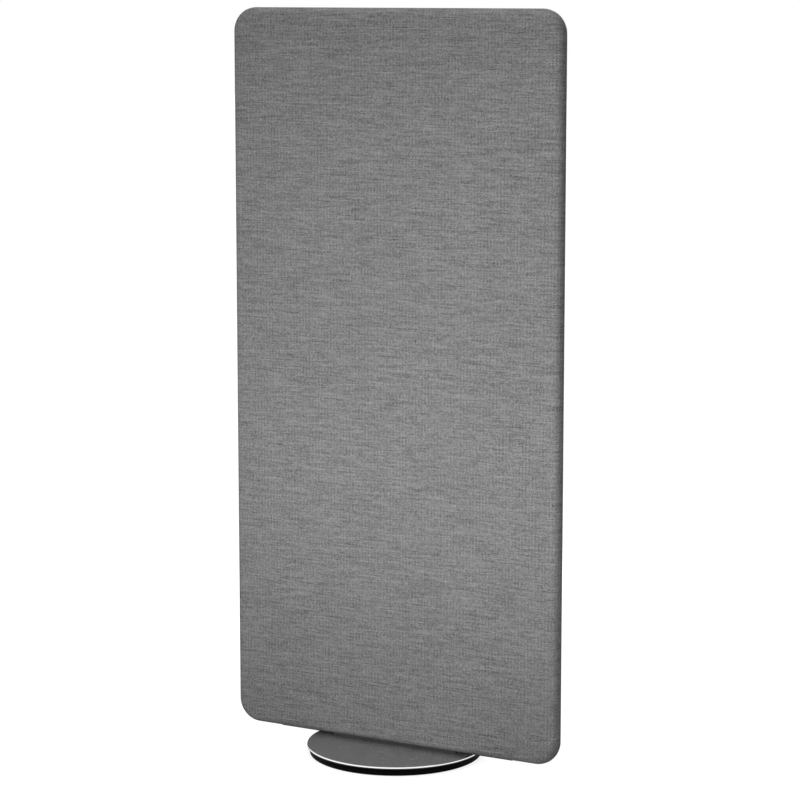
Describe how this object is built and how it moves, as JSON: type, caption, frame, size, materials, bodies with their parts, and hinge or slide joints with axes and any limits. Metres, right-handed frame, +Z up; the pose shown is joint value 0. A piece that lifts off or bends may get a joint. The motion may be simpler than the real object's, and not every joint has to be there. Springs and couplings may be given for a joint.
{
  "type": "floor screen",
  "caption": "Upright cloth-covered partition panel with rounded corners, turning freely on a low round weighted base.",
  "frame": {"origin": "on the floor at the centre of the round base", "axes": "+Z up, X along the panel's width, the front faces -Y"},
  "size_m": [0.8, 0.39, 1.624],
  "materials": {
    "black_steel": "matte",
    "pad_rubber": "matte",
    "ring_aluminium": "satin",
    "zinc_steel": "satin",
    "cage_plastic": "matte",
    "ball_steel": "polished",
    "plate_steel": "satin",
    "foot_steel": "matte",
    "timber": "matte",
    "dowel_beech": "matte",
    "absorber": "matte",
    "wadding": "matte",
    "cloth": "matte",
    "strip_plastic": "matte"
  },
  "bodies": {
    "base": {"base_disc": "black_steel", "floor_pads": "pad_rubber", "bearing_outer_ring": "ring_aluminium", "outer_ring_screws": "zinc_steel"},
    "cage": {"ball_cage": "cage_plastic", "bearing_balls": "ball_steel"},
    "screen": {"bearing_inner_ring": "ring_aluminium", "inner_ring_screws": "zinc_steel", "turning_plate": "plate_steel", "plate_screws": "zinc_steel", "foot_bar": "foot_steel", "foot_tube_left": "foot_steel", "foot_tube_right": "foot_steel", "foot_bar_screws": "zinc_steel", "frame_stile_left": "timber", "frame_stile_right": "timber", "frame_top_rail": "timber", "frame_middle_rail": "timber", "frame_brace_rail": "timber", "frame_bottom_rail": "timber", "corner_block_top_left": "timber", "corner_block_top_right": "timber", "corner_block_bottom_left": "timber", "corner_block_bottom_right": "timber", "frame_dowels": "dowel_beech", "absorber_top": "absorber", "absorber_middle": "absorber", "absorber_foot": "absorber", "wadding_front": "wadding", "wadding_back": "wadding", "front_cover": "cloth", "back_cover": "cloth", "closing_strip_left": "strip_plastic", "closing_strip_right": "strip_plastic"}
  },
  "joints": [
    {"name": "swivel", "type": "hinge", "parent": "base", "child": "screen", "pos_m": [0, 0, 0.012], "axis": [0, 0, 1], "continuous": true},
    {"name": "cage_roll", "type": "hinge", "parent": "base", "child": "cage", "pos_m": [0, 0, 0.012], "axis": [0, 0, 1], "continuous": true}
  ],
  "couplings": [
    {"joint": "cage_roll", "follows": "swivel", "ratio": 0.48913}
  ]
}
